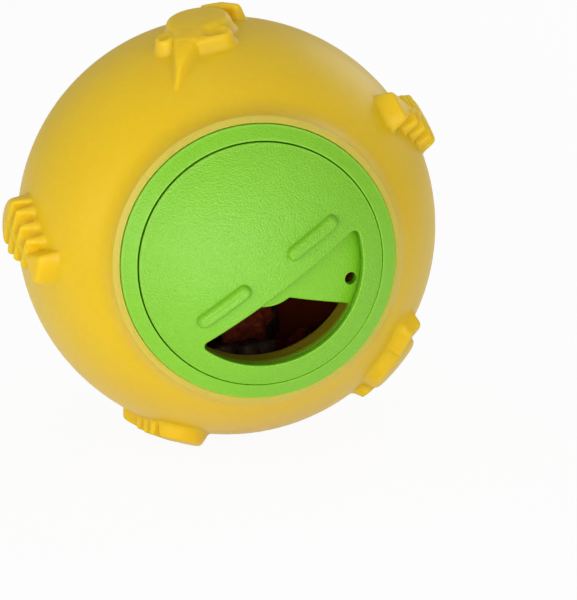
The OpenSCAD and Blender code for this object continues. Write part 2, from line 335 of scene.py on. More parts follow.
def make_piece(name, points, faces, material, body):
    """Puts scene points and their faces into a mesh object that rides on a CAD body."""
    faces = facing_out(points, faces)
    sizes = np.concatenate([np.full(len(group), group.shape[1]) for group in faces])
    corners = np.concatenate([group.ravel() for group in faces])
    mesh = bpy.data.meshes.new(name)
    mesh.vertices.add(len(points))
    mesh.vertices.foreach_set("co", np.ascontiguousarray(points, np.float32).ravel())
    mesh.loops.add(len(corners))
    mesh.loops.foreach_set("vertex_index", corners.astype(np.int32))
    mesh.polygons.add(len(sizes))
    mesh.polygons.foreach_set("loop_start", (np.cumsum(sizes) - sizes).astype(np.int32))
    mesh.update(calc_edges=True)
    if mesh.validate():
        raise RuntimeError(f"{name} has faces that Blender can't use")
    mesh.shade_smooth()
    mesh.set_sharp_from_angle(angle=SHARP)
    mesh.materials.append(material)
    piece = bpy.data.objects.new(name, mesh)
    bpy.context.scene.collection.objects.link(piece)
    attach(piece, body)
    return piece


def paint(piece, part, shares):
    """Marks a part of a piece by a share at each point, for its finish to read where painted light goes.
    """
    mask = piece.data.attributes.new(part, "FLOAT", "POINT")
    mask.data.foreach_set("value", shares.astype(np.float32))


def merge(piece, others, operation):
    """Bakes the union with other closed pieces, or their cut, into a piece and removes the others."""
    for other in others:
        step = piece.modifiers.new(other.name, "BOOLEAN")
        step.operation, step.solver, step.object = operation, "EXACT", other
    bpy.context.view_layer.update()
    graph = bpy.context.evaluated_depsgraph_get()
    done = bpy.data.meshes.new_from_object(piece.evaluated_get(graph))
    piece.modifiers.clear()
    piece.data = done
    done.shade_smooth()
    done.set_sharp_from_angle(angle=SHARP)
    for other in others:
        bpy.data.objects.remove(other)


def empty_material(name):
    """A material with nothing but its output, and its tree and surface socket."""
    material = bpy.data.materials.new(name)
    material.use_nodes = True
    tree = material.node_tree
    tree.nodes.clear()
    return material, tree, tree.nodes.new("ShaderNodeOutputMaterial").inputs["Surface"]


def new_material(name):
    """A material with one Principled shader, and its tree, shader and place on the object."""
    material, tree, surface = empty_material(name)
    shader = tree.nodes.new("ShaderNodeBsdfPrincipled")
    tree.links.new(shader.outputs["BSDF"], surface)
    return material, tree, shader, tree.nodes.new("ShaderNodeTexCoord").outputs["Object"]


def dress(tree, shader, colour, rough, bump):
    """Links a finish's colour, roughness and bump to its shader."""
    for source, socket in ((colour, "Base Color"), (rough, "Roughness"), (bump, "Normal")):
        tree.links.new(source, shader.inputs[socket])


def shade(colour, share):
    """A colour made darker or lighter by a share."""
    return tuple(min(1.0, share * c) for c in colour[:3]) + (1.0,)


def new_group(name, inputs, outputs):
    """A shader node group with named sockets, and its two end nodes."""
    group = bpy.data.node_groups.new(name, "ShaderNodeTree")
    for socket, kind, default in inputs:
        made = group.interface.new_socket(socket, in_out="INPUT", socket_type=kind)
        made.default_value = default
    for socket, kind in outputs:
        group.interface.new_socket(socket, in_out="OUTPUT", socket_type=kind)
    return group, group.nodes.new("NodeGroupInput"), group.nodes.new("NodeGroupOutput")


def add(tree, kind, values=(), links=(), **settings):
    """A node with settings, socket values and links from other sockets."""
    node = tree.nodes.new(kind)
    for name, value in settings.items():
        setattr(node, name, value)
    for socket, value in values:
        node.inputs[socket].default_value = value
    for source, socket in links:
        tree.links.new(source, node.inputs[socket])
    return node


def noise(tree, place, scale, detail=2.0, rough=0.5):
    """Noise over a place, at so many grains to the metre."""
    values = [("Scale", scale), ("Detail", detail), ("Roughness", rough)]
    return add(tree, "ShaderNodeTexNoise", values, [(place, "Vector")]).outputs["Fac"]


def reckon(tree, operation, *terms):
    """Result of a sum over sockets and plain numbers."""
    values = [(at, term) for at, term in enumerate(terms) if isinstance(term, float)]
    links = [(term, at) for at, term in enumerate(terms) if not isinstance(term, float)]
    return add(tree, "ShaderNodeMath", values, links, operation=operation).outputs[0]


def bumped(tree, height, strength, deep):
    """Normal of a bump of a strength, so many metres deep."""
    return add(tree, "ShaderNodeBump", [("Strength", strength), ("Distance", deep)],
               [(height, "Height")]).outputs["Normal"]


def mottle_group():
    """Slow drift between two colours, with a drift of roughness, from two layers of noise."""
    found = bpy.data.node_groups.get("slow_mottle")
    if found:
        return found
    group, start, end = new_group(
        "slow_mottle",
        [("Place", "NodeSocketVector", (0.0, 0.0, 0.0)),
         ("Pale", "NodeSocketColor", (0.8, 0.8, 0.8, 1.0)),
         ("Deep", "NodeSocketColor", (0.7, 0.7, 0.7, 1.0)),
         ("Roughness", "NodeSocketFloat", 0.4), ("Drift", "NodeSocketFloat", 0.05)],
        [("Colour", "NodeSocketColor"), ("Roughness", "NodeSocketFloat")])
    given = start.outputs
    slow = noise(group, given["Place"], 55.0, 3.0)
    fine = noise(group, given["Place"], 900.0)
    share = add(group, "ShaderNodeMapRange", [("From Min", 0.75), ("From Max", 1.25)],
                [(reckon(group, "ADD", slow, fine), "Value")])
    mix = add(group, "ShaderNodeMix", [], [(share.outputs["Result"], "Factor"), (given["Pale"], 6),
              (given["Deep"], 7)], data_type="RGBA")
    swing = reckon(group, "SUBTRACT", slow, 0.5)
    rough = reckon(group, "MULTIPLY_ADD", swing, given["Drift"], given["Roughness"])
    group.links.new(mix.outputs[2], end.inputs["Colour"])
    group.links.new(rough, end.inputs["Roughness"])
    return group


def grain_group():
    """Height of a fine pebbled grain: rounded cells with a little noise over them."""
    found = bpy.data.node_groups.get("pebble_grain")
    if found:
        return found
    group, start, end = new_group(
        "pebble_grain",
        [("Place", "NodeSocketVector", (0.0, 0.0, 0.0)), ("Cells", "NodeSocketFloat", 2000.0)],
        [("Height", "NodeSocketFloat")])
    cells = add(group, "ShaderNodeTexVoronoi", [("Randomness", 1.0)],
                [(start.outputs["Place"], "Vector"), (start.outputs["Cells"], "Scale")],
                feature="SMOOTH_F1")
    cloud = noise(group, start.outputs["Place"], GRAIN_CELLS)
    both = reckon(group, "MULTIPLY_ADD", cells.outputs["Distance"], -0.9, cloud)
    group.links.new(both, end.inputs["Height"])
    return group


def place_group(tree, group, place, values):
    """Outputs of a group node fed with the object's own coordinates and with its values."""
    node = add(tree, "ShaderNodeGroup", node_tree=group)
    tree.links.new(place, node.inputs["Place"])
    for name, value in values.items():
        node.inputs[name].default_value = value
    return node.outputs


def part_colours(tree, colour, parts):
    """A colour with each part's colour laid over it, by the mesh attribute of that name; these part
    colours are painted light.
    """
    for part, own in parts.items():
        mask = add(tree, "ShaderNodeAttribute", attribute_name=part)
        colour = add(tree, "ShaderNodeMix", [(7, own)],
                     [(mask.outputs["Fac"], "Factor"), (colour, 6)], data_type="RGBA").outputs[2]
    return colour


def soft_skin(name, pale, deep, parts):
    """Satin soft vinyl that lets light in: a slow mottle, faint moulding texture, and colours of parts:
    painted sheen on the lip, painted shade inside.
    """
    material, tree, shader, place = new_material(name)
    mottle = place_group(tree, mottle_group(), place,
                         {"Pale": pale, "Deep": deep, "Roughness": 0.43, "Drift": 0.08})
    skin = noise(tree, place, 420.0, 4.0, 0.55)
    for socket, value in (("Specular IOR Level", 0.35), ("Subsurface Weight", 0.85),
                          ("Subsurface Radius", (1.0, 0.6, 0.08)), ("Subsurface Scale", 0.003)):
        shader.inputs[socket].default_value = value
    dress(tree, shader, part_colours(tree, mottle["Colour"], parts), mottle["Roughness"],
          bumped(tree, skin, 0.05, 0.0002))
    return material


def grained_plastic(name, colour, strength, parts):
    """Moulded plastic with a fine pebbled grain and a slow mottle, and colours of parts, such as painted
    yellow light on the lid's walls.
    """
    material, tree, shader, place = new_material(name)
    mottle = place_group(tree, mottle_group(), place,
                         {"Pale": colour, "Deep": shade(colour, 0.94), "Roughness": 0.4, "Drift": 0.06})
    grain = place_group(tree, grain_group(), place, {"Cells": GRAIN_CELLS})
    dress(tree, shader, part_colours(tree, mottle["Colour"], parts), mottle["Roughness"],
          bumped(tree, grain["Height"], strength, 0.00012))
    return material


def crumbly(name, colour):
    """Baked treat: light and dark crumbs over a dry, pitted surface."""
    material, tree, shader, place = new_material(name)
    coarse = noise(tree, place, 700.0, 5.0, 0.65)
    fine = noise(tree, place, 2600.0, 3.0, 0.6)
    ramp = add(tree, "ShaderNodeValToRGB", [], [(coarse, "Fac")])
    for element, position, share in zip(ramp.color_ramp.elements, (0.32, 0.68), (0.45, 1.25)):
        element.position, element.color = position, shade(colour, share)
    rough = add(tree, "ShaderNodeMapRange", [("To Min", 0.65), ("To Max", 0.9)], [(fine, "Value")])
    dress(tree, shader, ramp.outputs["Color"], rough.outputs["Result"],
          bumped(tree, reckon(tree, "ADD", coarse, fine), 0.6, 0.0004))
    return material


def skin_profile(s):
    """Section of the ball as (distance, height) from the back pole outside to the back pole inside.

    Outside sphere, a hollow curve up to the lip, the lip's outward slope between two round corners,
    its inner wall, the seat, the neck's bore and sleeve, and the inside sphere.
    """
    ball, inner = mm(s.ball_radius), mm(s.ball_radius - s.ball_wall)
    lip, thick, middle = mm(s.lip_radius), mm(s.lip_thickness), mm(s.lip_middle)
    flare, seat = mm(s.flare_radius), mm(s.seat_height)
    neck, sleeve = mm(s.neck_radius), mm(s.neck_radius + s.neck_wall)
    end = seat - mm(s.neck_length)
    small, round_in, round_out, slope = 0.25, 0.15, 0.5, 56.0
    lip_share, shoulder, tilt = 0.66, middle - 0.3, math.radians(slope)
    flare_at = lip + lip_share * thick + flare
    flare_up = float(height_on(ball + flare, flare_at))
    foot = math.degrees(math.atan2(flare_up, flare_at))
    top = float(height_on(inner, sleeve))
    back = math.degrees(math.atan2(top, sleeve))
    lean = math.asin((flare_up - shoulder) / flare)
    start = (flare_at - (flare + round_out) * math.cos(lean), shoulder - round_out * math.sin(lean))
    bend = arc(start, round_out, math.degrees(lean), slope, 7)
    run = bend[-1, 0] - lip - round_in * (1 + math.cos(tilt))
    crest = bend[-1, 1] + run / math.tan(tilt) - round_in * math.sin(tilt)
    outside = [
        arc((0, 0), ball, -90, foot, 96),
        arc((flare_at, flare_up), flare, 180 + foot, 180 + math.degrees(lean), 24)[1:-1],
        bend,
        arc((lip + round_in, crest), round_in, slope, 180, 7),
        line((lip, crest - 0.2), (lip, seat + small), 4),
        line((lip - small, seat), (neck + small, seat), 5),
    ]
    inside = [
        line((neck, seat - small), (neck, end + small), 6),
        arc((neck + small, end + small), small, 180, 270, 5),
        arc((sleeve - small, end + small), small, 270, 360, 5),
        line((sleeve, end + 2 * small), (sleeve, top - 0.1), 3),
        arc((0, 0), inner, back - 0.3, -90, 60),
    ]
    return np.concatenate(outside), np.concatenate(inside)


class TREATBALL_OT_skin(bpy.types.Operator):
    """Builds the hollow ball with its flared lip, seat and neck."""

    bl_idname = "treatball.skin"
    bl_label = "Ball"

    def execute(self, context):
        s, c = context.scene.treat_ball_sizes, context.scene.treat_ball_colours
        outside, inside = skin_profile(s)
        profile = np.concatenate([outside, inside])
        first, last = np.array([[0.0, 0.0, profile[0, 1]], [0.0, 0.0, profile[-1, 1]]])
        points, faces = loft(spun(profile[1:-1], BALL_POINTS), first, last)
        # The rim and inside colours are painted light: a paler painted sheen on the lip and a dark
        # red-brown painted shade inside the ball.
        material = soft_skin("soft_yellow_skin", c.skin, c.skin_deep, {"rim": c.lip, "inside": c.inside})
        piece = make_piece("ball_skin", to_scene(points), faces, material, "ball")
        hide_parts("ball_shell")
        # 'inside' marks every inner row for the painted shade inside the ball.
        within = np.arange(len(profile)) >= len(outside)
        # 'rim' eases the paler painted sheen in over the top of the lip.
        rim = np.where(within, 0.0, ease((profile[:, 1] - mm(s.lip_middle) + 1.0) / 0.8))
        for part, share in (("inside", within), ("rim", rim)):
            paint(piece, part, np.append(np.repeat(share[1:-1], BALL_POINTS), [share[0], share[-1]]))
        return {"FINISHED"}


def raised(depth, wall, shoulder):
    """Share of the full height at a depth inside an outline: a steep wall, then a round shoulder."""
    lead, wall_share = 0.35, 0.72
    steep = ease((depth + lead * wall) / wall)
    eased = ease(0.5 + 0.5 * np.clip(depth / shoulder, -1.0, 1.0)) * 2.0 - 1.0
    return wall_share * steep + (1.0 - wall_share) * np.clip(eased, 0.0, 1.0)


def mouse_field(x, y, high):
    """Height of a mouse over the ball and distance outside its outline; nose towards -x.

    The body is a round slab that runs into the brow, the snout a ridge that sinks to the nose, the
    ears are dished ovals of two sizes, and the tail is a bar that bends round behind the body.
    """
    body = disc(x, y, (4.9, 0.0), 5.65)
    tail_bend, tail_half = (12.8, -1.8), 1.25
    tail = soft_min(bar(x, y, (10.6, 0.3), tail_bend, tail_half),
                    bar(x, y, tail_bend, (12.1, -4.4), tail_half), 0.5)
    brow = slab(x, y, [(-3.9, 2.2), (-3.9, -2.2), (1.1, -3.4), (1.1, 3.4)], 0.5)
    snout = slab(x, y, [(-11.0, 1.0), (-11.0, -1.0), (-3.4, -2.4), (0.6, -3.6), (0.6, 3.6),
                        (-3.4, 2.4)], 0.6)
    ridge = high * np.interp(x, [-11.1, -9.8, -4.2, -3.0, -0.8], [0.28, 0.48, 0.94, 0.98, 0.44])
    height = high * raised(-soft_min(body, brow, 2.0), 1.4, 2.0)
    height = soft_max(height, high * raised(-tail, 1.1, 1.2), 0.4)
    height = soft_max(height, ridge * raised(-snout, 1.2, 1.8), 0.8)
    outline = np.minimum(np.minimum(np.minimum(body, brow), tail), snout)
    for root, hollow, tip, radius in MOUSE_EARS:
        ear = bar(x, y, root, tip, radius)
        dish = 0.6 * ease(-bar(x, y, hollow, tip, 0.85 * radius) / (0.75 * radius))
        height = soft_max(height, 0.9 * high * raised(-ear, 1.0, 1.6), 0.6) - dish
        outline = np.minimum(outline, ear)
    return height, outline


def fish_field(x, y, high):
    """Height of a fish bone over the ball and distance outside its outline; tail fin towards -x.

    A straight spine carries three rounded ribs, a fin that spreads to a bowed tail and a half-round
    head, with a lower web between the ribs.
    """
    bone, web_share = 0.95, 0.6
    outline = bar(x, y, (-7.0, 0.0), (4.5, 0.0), bone)
    fin = slab(x, y, [(-9.54, 4.32), (-9.54, -4.32), (-4.2, -bone), (-4.2, bone)])
    fin = soft_max(fin, disc(x, y, (-4.2, 0.0), 5.34), 0.7)
    web = slab(x, y, [(-4.2, 1.92), (-4.2, -1.92), (5.5, -4.08), (5.5, 4.08)], 0.3)
    head = soft_max(disc(x, y, (3.675, 0.0), 4.8), 3.675 - x, 0.4)
    outline = soft_min(soft_min(outline, fin, 0.35), head, 0.3)
    for at, half in FISH_RIBS:
        outline = soft_min(outline, bar(x, y, (at, bone - half), (at, half - bone), bone), 0.3)
    height = high * soft_max(raised(-outline, 1.0, 1.4), web_share * raised(-web, 1.0, 1.3), 0.7 / high)
    return height, np.minimum(outline, web)


def raised_patch(kind, ball, high):
    """Closed patch that carries one raised figure, in the figure's own axes, z out of the ball.

    Over an even grid the height is the root of (R + h) squared less x and y squared. Outside the
    figure h runs out just under the ball's own surface and then falls away, and a skirt and a
    floor inside the ball's wall close the patch.
    """
    low, top = ((-13.2, -8.8), (15.6, 7.8)) if kind == "mouse" else ((-11.2, -6.4), (10.1, 6.4))
    step, sink, past, fade, fall, floor_depth = 0.2, 0.012, 0.6, 0.7, 0.45, 1.3
    y, x = np.meshgrid(np.arange(low[1], top[1], step), np.arange(low[0], top[0], step), indexing="ij")
    field = mouse_field if kind == "mouse" else fish_field
    height, outline = field(x, y, high)
    sunk = -sink - fall * np.clip(outline - past, 0.0, 1.2)
    height = np.where(outline > past, sunk, height * ease((past - outline) / fade) - sink)
    up = np.stack([x, y, np.sqrt((ball + height) ** 2 - x * x - y * y)], axis=-1)
    rows, columns = x.shape
    index = np.arange(rows * columns).reshape(rows, columns)
    rim = np.concatenate([index[0, :-1], index[:-1, -1], index[-1, :0:-1], index[:0:-1, 0]])
    floor = up.reshape(-1, 3)[rim]
    floor = floor * ((ball - floor_depth) / np.linalg.norm(floor, axis=1, keepdims=True))
    points = np.concatenate([up.reshape(-1, 3), floor, [[0.0, 0.0, ball - floor_depth]]])
    here = np.arange(len(rim))
    after = (here + 1) % len(rim)
    base = rows * columns
    skirt = np.stack([rim[after], rim, base + here, base + after], axis=1)
    fan = np.stack([base + after, base + here, np.full(len(rim), len(points) - 1)], axis=1)
    return points, [grid_faces(rows, columns, False, False), skirt, fan]


class TREATBALL_OT_figures(bpy.types.Operator):
    """Raises the mice and fish bones from the ball's skin, in one with it."""

    bl_idname = "treatball.figures"
    bl_label = "Mice and fish bones"

    def execute(self, context):
        s = context.scene.treat_ball_sizes
        ball = bpy.data.objects["ball_skin"]
        figures = []
        for number, (kind, angle, polar, turn, share) in enumerate(FIGURES, 1):
            high = share * mm(s.mouse_height if kind == "mouse" else s.fish_height)
            points, faces = raised_patch(kind, mm(s.ball_radius), high)
            points = turned(points, 2, turn - math.degrees(s.figure_slant))
            points = turned(turned(points, 1, polar), 2, angle)
            points = to_scene(points)
            skin = ball.data.materials[0]
            figures.append(make_piece(f"{kind}_{number}", points, faces, skin, "ball"))
        merge(ball, figures, "UNION")
        return {"FINISHED"}


def window_rays(s, hub, corner, wider):
    """Centre, ray distance function and ray directions of a half-moon window.

    A ray from a point inside the window ends on the straight edge, on the round edge or, between
    them, on a small circle that rounds the corner; where there is a hub, its edge counts if nearer.
    """
    chord, edge, least = mm(s.window_chord), mm(s.window_radius) + wider, 0.02
    centre = np.array([0.0, -0.5 * (chord + edge) - 0.6])

    def reach(angle, circle):
        """Distance along a ray to a circle about the axis."""
        across = centre[1] * np.sin(angle)
        return -across + np.sqrt(across * across - centre[1] ** 2 + circle * circle)

    bend = (math.sqrt((edge - corner) ** 2 - (chord + corner) ** 2), -chord - corner)

    def distance(angle):
        """Distance along a ray to the window's edge."""
        rise, run = np.sin(angle), np.cos(angle)
        straight = (-chord - centre[1]) / np.maximum(rise, least)
        around = reach(angle, edge)
        towards = np.abs(run) * bend[0] + rise * (bend[1] - centre[1])
        past = towards ** 2 - bend[0] ** 2 - (bend[1] - centre[1]) ** 2 + corner * corner
        turn = towards + np.sqrt(np.maximum(past, 0.0))
        flat = (rise > least) & (np.abs(straight * run) <= bend[0])
        low = centre[1] + around * rise <= bend[1] * edge / (edge - corner)
        found = np.where(flat, straight, np.where(low, around, turn))
        if hub > 0.0:
            across = centre[1] * rise
            inner = across * across - centre[1] ** 2 + hub * hub
            meets = -across - np.sqrt(np.maximum(inner, 0.0)) + 2.0 * np.sqrt(np.maximum(-inner, 0.0))
            found = soft_min(found, np.where(rise > 0.0, meets, 99.0), 0.6)
        return found

    return centre, reach, distance


def window_loop(s, hub, corner, rim, wider):
    """Points round a window at even steps, their normals away from it, and directions to a rim."""
    centre, reach, distance = window_rays(s, hub, corner, wider)
    dense = np.linspace(-np.pi, np.pi, 8193)
    away = distance(dense)
    path = centre + away[:, None] * np.stack([np.cos(dense), np.sin(dense)], axis=1)
    run = np.concatenate([[0.0], np.cumsum(np.linalg.norm(np.diff(path, axis=0), axis=1))])
    angle = np.interp(np.linspace(0.0, run[-1], WINDOW_POINTS, endpoint=False), run, dense)
    along = np.stack([np.cos(angle), np.sin(angle)], axis=1)
    edge = centre + distance(angle)[:, None] * along
    tangent = np.roll(edge, -1, axis=0) - np.roll(edge, 1, axis=0)
    normal = np.stack([tangent[:, 1], -tangent[:, 0]], axis=1)
    normal /= np.linalg.norm(normal, axis=1, keepdims=True)
    far = centre + reach(angle, rim)[:, None] * along
    return edge, normal, far / rim


def at_height(plan, height):
    """Plan points with a height each."""
    return np.concatenate([plan, np.broadcast_to(height, plan.shape[:1])[:, None]], axis=1)


def laid(plans, height):
    """Rows of plan points, each at the height that a surface has there."""
    return [at_height(plan, height(plan)) for plan in plans]


def wall_rows(edge, start, end, shares):
    """Rows up a wall over one loop of plan points, at shares of the way between two heights."""
    return [at_height(edge, start + t * (end - start)) for t in shares]


def round_rows(direction, middle, radius, start, end, count):
    """Rows round a circle's section, carried round the axis along given directions."""
    return [at_height(direction * r, u) for r, u in arc(middle, radius, start, end, count)]


def drop_rows(direction, away, start, end, count):
    """Rows down a wall at one distance from the axis."""
    return [at_height(direction * away, u) for u in np.linspace(start, end, count)]


def spread(start, end, count):
    """Plan points at even steps between two loops, without the ends."""
    share = np.linspace(0.0, 1.0, count + 2)[1:-1]
    return [start + t * (end - start) for t in share]


def edge_rows(edge, normal, top, fillet, count):
    """Rows round the rounded top edge of a window, from its wall to its top face."""
    angle = np.radians(np.linspace(0.0, 90.0, count))
    rows = []
    for a in angle:
        plan = edge + normal * fillet * (1.0 - math.cos(a))
        rows.append(at_height(plan, top(plan) - fillet * (1.0 - math.sin(a))))
    return rows


class TREATBALL_OT_dial(bpy.types.Operator):
    """Builds the domed dial with its window, grip ribs and pivot pin."""

    bl_idname = "treatball.dial"
    bl_label = "Dial"

    def execute(self, context):
        s, c = context.scene.treat_ball_sizes, context.scene.treat_ball_colours
        material = grained_plastic("green_dial", c.dial, 0.9, {})
        turn = math.degrees(s.dial_turn)
        play = mm(s.dial_play) * np.array([0.7, -0.7, 0.0])
        points, faces = ringed(np.array(self.disc_rows(s)))
        points = turned(points, 2, turn) + play
        piece = make_piece("dial_disc", to_scene(points), faces, material, "dial")
        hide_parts("dial")
        ribs = (math.degrees(s.rib_turn), 180.0 + math.degrees(s.rib_turn_2))
        for number, side in enumerate(ribs, 1):
            points, faces = loft(self.rib_rings(s))
            points = turned(points, 2, turn + side) + play
            make_piece(f"dial_rib_{number}", to_scene(points), faces, material, "dial")
        pin, low, top, bevel = mm(s.pin_radius), 30.0, 35.9, 0.1
        points, faces = loft(spun(np.array([[pin - bevel, low], [pin, low + bevel], [pin, top]]), 64))
        make_piece("dial_pin", to_scene(points), faces, material, "dial")
        for number, side in enumerate((0.0, 180.0), 1):
            points, faces = loft(self.prong_rings(s))
            points = turned(points, 2, turn + side)
            make_piece(f"dial_prong_{number}", to_scene(points), faces, material, "dial")
        return {"FINISHED"}

    def disc_rows(self, s):
        """Closed section of the dial, carried round its window.

        Up the window's wall, over its rounded edge, across the dome, over the rim's rounded edge,
        down the rim and back across the underside, each row a loop of points.
        """
        dome, under, rim = mm(s.dial_dome), mm(s.dial_dome - s.dial_thickness), mm(s.dial_radius)
        soft, round_rim, bevel, low_bevel, corner = 0.35, 0.18, 0.12, 0.1, 0.85
        edge, normal, far = window_loop(s, 0.0, corner, rim - round_rim, 0.0)
        top, low = over(dome), over(under)
        rows = wall_rows(edge, low(edge) + low_bevel, top(edge) - soft, (0.0, 0.5))
        rows += edge_rows(edge, normal, top, soft, 8)
        rows += laid(spread(edge + normal * soft, far * (rim - round_rim), 30), top)
        rim_top = float(height_on(dome, rim - round_rim))
        rows += round_rows(far, (rim - round_rim, rim_top - round_rim), round_rim, 90, 0, 7)
        rim_low = float(height_on(under, rim))
        rows += drop_rows(far, rim, rim_top - 2 * round_rim, rim_low + bevel, 3)
        outer, inner = far * (rim - bevel), edge + normal * low_bevel
        return rows + laid([outer, *spread(outer, inner, 26), inner], low)

    def rib_rings(self, s):
        """Rings of a grip rib: a bar's outline with round ends, drawn in as it rises over the dome."""
        half, straight = mm(s.rib_width) / 2, mm(s.rib_length - s.rib_width)
        start, high, dome = mm(s.rib_start) + half, mm(s.rib_height), over(mm(s.dial_dome))
        turn = np.linspace(0.0, 2.0 * np.pi, 192, endpoint=False)
        out = np.stack([np.cos(turn), np.sin(turn)], axis=1)
        along = start + straight * ease(0.5 + 2.0 * np.cos(turn))
        middle = np.stack([along, np.zeros_like(turn)], axis=1)
        section = [(0.3, -0.4), (0.3, -0.05), (0.16, 0.03), (0.08, 0.14)]
        draw, base = 0.72 * half, 0.2
        section += [(0.06 - draw * (1 - math.cos(a)), high * (base + (1.0 - base) * math.sin(a)))
                    for a in np.radians(np.linspace(6, 90, 12))]
        plans = [(middle + out * (half + offset), rise) for offset, rise in section]
        return np.array([at_height(plan, dome(plan) + rise) for plan, rise in plans])

    def prong_rings(self, s):
        """Rings of half the snap head: a round bar cut flat beside the slot, flared below the hub."""
        gap = mm(s.slot_width) / 2
        top, end = mm(s.snap_top), mm(s.snap_top - s.snap_length)
        pin, snap = mm(s.pin_radius), mm(s.snap_radius)
        rings = []
        for u, r in ((top + 1.2, pin), (top + 0.05, pin), (top, pin + 0.05), (top, snap - 0.12),
                     (top - 0.12, snap), (end + 0.15, pin + 0.1), (end, pin - 0.1)):
            start = math.asin(gap / r)
            bow = np.linspace(start, math.pi - start, 48)
            rings.append(np.stack([r * np.cos(bow), r * np.sin(bow), np.full(48, u)], axis=1))
        return np.array(rings)


class TREATBALL_OT_lid(bpy.types.Operator):
    """Builds the lid's ring, its windowed plate, its plug and its hub."""

    bl_idname = "treatball.lid"
    bl_label = "Lid"

    def execute(self, context):
        s, c = context.scene.treat_ball_sizes, context.scene.treat_ball_colours
        # The "under" part of the lid's finish is painted light: a yellow-olive tint for the ball's
        # yellow light on the green walls below the plate.
        material = grained_plastic("green_lid", c.lid, 0.6, {"under": c.underside})
        points, faces = ringed(np.array(self.shell_rows(s)))
        points = turned(points, 2, math.degrees(s.plate_turn))
        piece = make_piece("lid_shell", to_scene(points), faces, material, "lid")
        # Mask of the painted yellow light: points between the window's round edge and the plug's inside,
        # from 0.9 mm under the plate's dome downwards.
        away = np.linalg.norm(points[:, :2], axis=1)
        below = height_on(mm(s.plate_dome), away) - points[:, 2]
        plug_in = mm(s.plug_radius - s.plug_wall)
        on_wall = (away > mm(s.window_radius) + 0.2) & (away < plug_in + 0.05)
        paint(piece, "under", on_wall * ease((below - 0.9) / 0.4))
        self.cut_holes(s, piece)
        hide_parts("lid_base")
        hub, bore, end, root = mm(s.hub_radius), mm(s.bore_radius), mm(s.hub_end), 33.4
        section = np.array([[bore, end + 0.2], [bore + 0.2, end], [hub - 0.3, end],
                            [hub - 0.08, end + 0.08], [hub, end + 0.3], [hub, root - 1.0],
                            [hub - 0.15, root - 0.7], [hub - 0.3, root], [bore, root]])
        points, faces = ringed(spun(section, 96))
        make_piece("lid_hub", to_scene(points), faces, material, "lid")
        return {"FINISHED"}

    def shell_rows(self, s):
        """Closed section of the lid, carried round its window.

        Up the window's wall, across the plate's dome, up the dial's pocket, over the ring, down the
        flange, along the seat, round the plug and back under the plate.
        """
        plate, under = mm(s.plate_dome), mm(s.plate_dome - s.plate_thickness)
        pocket, dome, flange = mm(s.pocket_radius), mm(s.lid_dome), mm(s.flange_radius)
        plug, plug_in = mm(s.plug_radius), mm(s.plug_radius - s.plug_wall)
        seat = mm(s.seat_height) + 0.04
        plug_end = mm(s.seat_height - s.plug_length)
        soft, pocket_floor, pocket_edge, ring_edge = 0.3, 0.3, 0.13, 0.22
        plug_out, plug_round, corner, wider = 0.4, 0.3, 0.5, 0.25
        step = mm(s.window_radius) + 0.35
        edge, normal, far = window_loop(s, mm(s.hub_radius), corner, pocket - pocket_floor, wider)
        top = over(plate)

        def low(plan):
            """Height of the underside: under the plate, then stepping to the seat outside the window."""
            away = np.linalg.norm(plan, axis=1)
            share = ease((away - step + 0.15) / 0.3)
            return (1.0 - share) * height_on(under, away) + share * seat

        rows = wall_rows(edge, low(edge), top(edge) - soft, np.linspace(0.0, 0.9, 10))
        rows += edge_rows(edge, normal, top, soft, 6)
        rows += laid(spread(edge + normal * soft, far * (pocket - pocket_floor), 30), top)
        floor = float(height_on(plate, pocket))
        rows += round_rows(far, (pocket - pocket_floor, floor + 0.4), pocket_floor, 270, 360, 5)
        ring_in = float(height_on(dome, pocket + pocket_edge))
        rows += drop_rows(far, pocket, floor + 0.7, ring_in - pocket_edge - 0.3, 3)
        rows += round_rows(far, (pocket + pocket_edge, ring_in - pocket_edge), pocket_edge, 180, 90, 6)
        across = np.linspace(pocket + pocket_edge, flange - ring_edge, 8)[1:-1]
        rows += laid([far * r for r in across], over(dome))
        ring_out = float(height_on(dome, flange - ring_edge))
        rows += round_rows(far, (flange - ring_edge, ring_out - ring_edge), ring_edge, 90, 0, 9)
        rows += drop_rows(far, flange, ring_out - 2 * ring_edge, seat, 4)
        rows += drop_rows(far, plug, seat, plug_end + 0.5, 4)
        rows += round_rows(far, (plug - plug_out, plug_end + plug_out), plug_out, 0, -90, 5)
        rows += round_rows(far, (plug_in + plug_round, plug_end + plug_round), plug_round, 270, 180, 5)
        rows += drop_rows(far, plug_in, plug_end + 0.5, seat, 3)
        return rows + laid(spread(far * plug_in, edge, 48), low)

    def cut_holes(self, s, piece):
        """Cuts the hub's bore and the small hole through the plate with round bars."""
        holes, below, above = [], 24.5, 40.0
        for r, at, turn in ((mm(s.bore_radius), 0.0, 0.0),
                            (mm(s.vent_radius), mm(s.vent_away), math.degrees(s.vent_turn))):
            rod = spun(np.array([[r, below], [r, above]]), 64) + np.array([at, 0.0, 0.0])
            points, faces = loft(rod)
            holes.append((turned(points, 2, turn), faces))
        shift = len(holes[0][0])
        points = to_scene(np.concatenate([points for points, faces in holes]))
        faces = [np.concatenate([a, b + shift]) for a, b in zip(holes[0][1], holes[1][1])]
        cutter = make_piece("hole_cutter", points, faces, piece.data.materials[0], "lid")
        merge(piece, [cutter], "DIFFERENCE")


def crumble(points, amount, seed):
    """Uneven push of each point: a sum of waves in many random directions, finer ones weaker."""
    rng = np.random.default_rng(seed)
    total = np.zeros(len(points))
    lengths = (3.2, 2.1, 1.4, 0.9, 0.6)
    for length in np.repeat(lengths, 2):
        direction = rng.normal(size=3)
        direction *= 2.0 * np.pi / (length * np.linalg.norm(direction))
        total += length / lengths[0] * np.sin(points @ direction + rng.uniform(0.0, 2.0 * np.pi))
    return amount * total / 2.5


